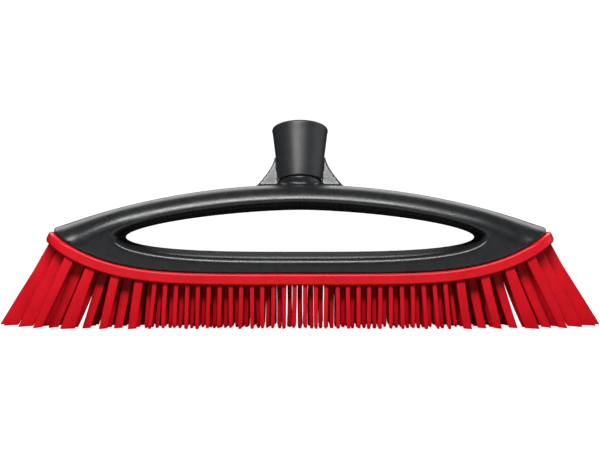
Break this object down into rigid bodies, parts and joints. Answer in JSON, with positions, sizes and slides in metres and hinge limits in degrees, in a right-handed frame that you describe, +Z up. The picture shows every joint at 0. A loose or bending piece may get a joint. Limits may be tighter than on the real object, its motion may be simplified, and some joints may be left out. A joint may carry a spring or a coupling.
{
  "type": "push broom head",
  "caption": "Push broom head with an arched hand-hole body, a tilted threaded handle socket, a red bumper band and rows of stiff rubber bristles splayed at the ends.",
  "frame": {"origin": "centre of the whole object's box, on the plane of the bristle tips", "axes": "+X along the head, -Y towards the front, +Z up; the handle socket leans back towards +Y"},
  "size_m": [0.3644, 0.0524, 0.1261],
  "materials": {
    "black_body": "spark-eroded matt polypropylene",
    "black_socket": "spark-eroded matt polypropylene",
    "black_insert": "plain moulded polypropylene",
    "black_plate": "plain moulded polypropylene",
    "red_band": "smooth satin thermoplastic rubber",
    "red_bristle": "smooth satin thermoplastic rubber",
    "zinc_steel": "bright zinc plate"
  },
  "bodies": {
    "root": {"bridge_body": "black_body", "handle_socket": "black_socket", "thread_insert": "black_insert", "socket_screw": "zinc_steel", "bumper_band": "red_band", "base_plate": "black_plate", "bristle_row_1": "red_bristle", "bristle_row_2": "red_bristle", "bristle_row_3": "red_bristle", "bristle_row_4": "red_bristle", "bristle_row_5": "red_bristle", "bristle_row_6": "red_bristle", "base_screw_1": "zinc_steel", "base_screw_2": "zinc_steel", "base_screw_3": "zinc_steel", "base_screw_4": "zinc_steel", "base_screw_5": "zinc_steel", "base_screw_6": "zinc_steel"}
  },
  "joints": []
}
